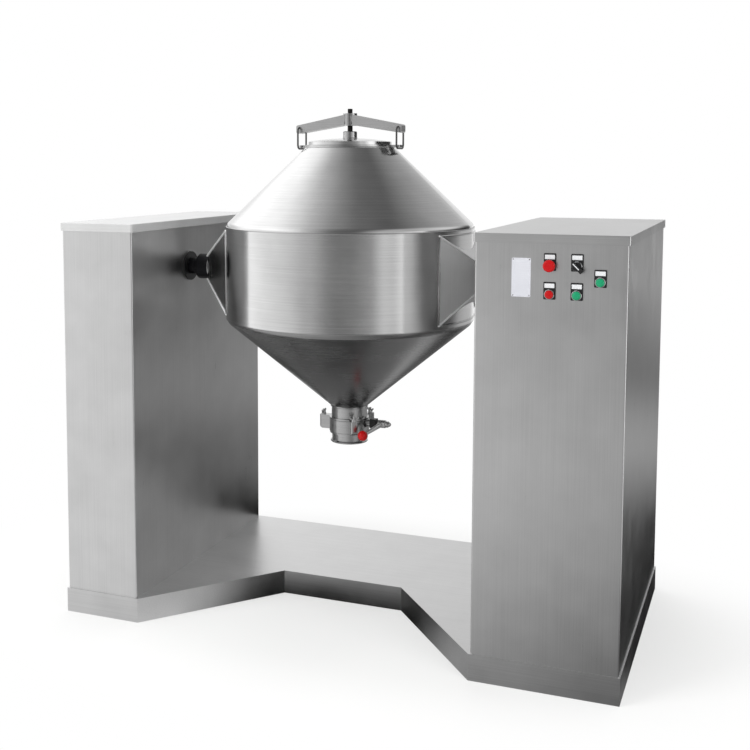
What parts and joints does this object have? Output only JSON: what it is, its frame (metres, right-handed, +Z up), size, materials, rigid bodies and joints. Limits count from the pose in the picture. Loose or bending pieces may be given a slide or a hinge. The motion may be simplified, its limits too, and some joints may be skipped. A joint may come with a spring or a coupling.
{
  "type": "double cone mixer",
  "caption": "Double cone powder mixer: a vessel that turns on trunnions between two pedestals on a notched base, with clamped lid, butterfly outlet valve and push buttons.",
  "frame": {"origin": "on the floor, at the centre of the rectangular footprint", "axes": "+Z up; +X along the trunnion axis, from the plain pedestal to the drive pedestal; the control front faces -Y"},
  "size_m": [1.802, 0.9701, 1.6683],
  "materials": {
    "brushed_sheet": "satin stainless sheet",
    "brushed_cover": "satin stainless sheet",
    "mill_plate": "mill finish plate",
    "primed_steel": "grey primer on welded sections",
    "bright_fastener": "turned stainless",
    "polished_vessel": "polished stainless",
    "polished_fitting": "polished stainless",
    "brushed_fitting": "satin stainless",
    "black_shaft": "black enamel",
    "silicone": "white silicone",
    "dark_thread": "greased thread",
    "dark_wire": "drawn stainless wire",
    "black_plastic": "moulded",
    "red_plastic": "moulded",
    "green_plastic": "moulded",
    "white_label": "blank label",
    "bright_bezel": "plated ring",
    "nameplate_metal": "bare plate",
    "cast_housing": "painted casting",
    "bearing_steel": "ground",
    "gear_paint": "blue grey enamel",
    "zinc_plate": "zinc plated",
    "gear_plastic": "moulded"
  },
  "bodies": {
    "stand": {"base_plinth": "brushed_sheet", "base_bottom_plate": "mill_plate", "base_frame": "primed_steel", "left_pedestal_housing": "brushed_sheet", "right_pedestal_housing": "brushed_sheet", "left_top_cover": "brushed_cover", "right_top_cover": "brushed_cover", "left_rear_panel": "brushed_sheet", "right_rear_panel": "brushed_sheet", "panel_screws": "bright_fastener", "shaft_wall_rings": "black_plastic", "left_bearing_housing": "cast_housing", "right_bearing_housing": "cast_housing", "bearing_outer_rings": "bearing_steel", "mounting_bolts": "bright_fastener", "bearing_stands": "primed_steel", "gearbox": "gear_paint", "drive_motor": "gear_paint", "motor_fan_cowl": "gear_paint", "motor_terminal_box": "gear_paint", "control_mounting_plate": "zinc_plate", "control_gear": "gear_plastic", "switch_holders": "black_plastic", "label_inserts": "white_label", "switch_bezels": "bright_bezel", "switch_bodies": "black_plastic", "nameplate": "nameplate_metal"},
    "vessel": {"barrel_band": "polished_vessel", "upper_cone": "polished_vessel", "lower_cone": "polished_vessel", "mouth_ring": "polished_fitting", "left_trunnion_bracket": "polished_vessel", "right_trunnion_bracket": "polished_vessel", "left_trunnion_shaft": "black_shaft", "right_trunnion_shaft": "black_shaft", "bearing_inner_rings": "bearing_steel", "clamp_hub": "polished_fitting", "clamp_beam": "brushed_fitting", "outlet_neck": "polished_fitting", "valve_body": "polished_fitting", "valve_seat": "silicone", "valve_notch_plate": "black_plastic", "valve_studs": "bright_fastener", "wing_nuts": "bright_fastener", "discharge_spout": "polished_fitting"},
    "lid_assembly": {"lid": "polished_vessel", "lid_gasket": "silicone", "clamp_foot": "polished_fitting"},
    "clamp_screw": {"clamp_screw": "dark_thread"},
    "left_bail": {"left_bail": "dark_wire"},
    "right_bail": {"right_bail": "dark_wire"},
    "valve_handle": {"valve_disc": "polished_fitting", "valve_lever": "brushed_fitting", "lever_knob": "red_plastic"},
    "stop_button": {"stop_button": "red_plastic"},
    "red_button": {"red_button": "red_plastic"},
    "green_button": {"green_button": "green_plastic"},
    "jog_button": {"jog_button": "green_plastic"},
    "selector": {"selector_knob": "black_plastic", "selector_pointer": "white_label"}
  },
  "joints": [
    {"name": "vessel_turn", "type": "hinge", "parent": "stand", "child": "vessel", "pos_m": [-0.042, -0.085, 1.137], "axis": [1, 0, 0], "continuous": true},
    {"name": "lid_lift", "type": "slide", "parent": "vessel", "child": "lid_assembly", "axis": [0, 0, 1], "range_m": [0, 0.012]},
    {"name": "clamp_screw_turn", "type": "hinge", "parent": "lid_assembly", "child": "clamp_screw", "pos_m": [-0.042, -0.085, 1.5733], "axis": [0, 0, 1], "range_deg": [0, 1082]},
    {"name": "left_bail_swing", "type": "hinge", "parent": "vessel", "child": "left_bail", "pos_m": [-0.212, -0.085, 1.60767], "axis": [0, 1, 0], "range_deg": [0, 60]},
    {"name": "right_bail_swing", "type": "hinge", "parent": "vessel", "child": "right_bail", "pos_m": [0.128, -0.085, 1.60767], "axis": [0, 1, 0], "range_deg": [-60, 0]},
    {"name": "valve_turn", "type": "hinge", "parent": "vessel", "child": "valve_handle", "pos_m": [-0.042, -0.085, 0.637], "axis": [1, 0, 0], "range_deg": [0, 90]},
    {"name": "stop_button_press", "type": "slide", "parent": "stand", "child": "stop_button", "axis": [0, 1, 0], "range_m": [0, 0.004], "stiffness_N_per_m": 800},
    {"name": "red_button_press", "type": "slide", "parent": "stand", "child": "red_button", "axis": [0, 1, 0], "range_m": [0, 0.004], "stiffness_N_per_m": 800},
    {"name": "green_button_press", "type": "slide", "parent": "stand", "child": "green_button", "axis": [0, 1, 0], "range_m": [0, 0.004], "stiffness_N_per_m": 800},
    {"name": "jog_button_press", "type": "slide", "parent": "stand", "child": "jog_button", "axis": [0, 1, 0], "range_m": [0, 0.004], "stiffness_N_per_m": 800},
    {"name": "selector_turn", "type": "hinge", "parent": "stand", "child": "selector", "pos_m": [0.76, -0.471, 1.214], "axis": [0, 1, 0], "range_deg": [-90, 0]}
  ],
  "couplings": [
    {"joint": "clamp_screw_turn", "follows": "lid_lift", "rad_per_m": 1570.8}
  ]
}
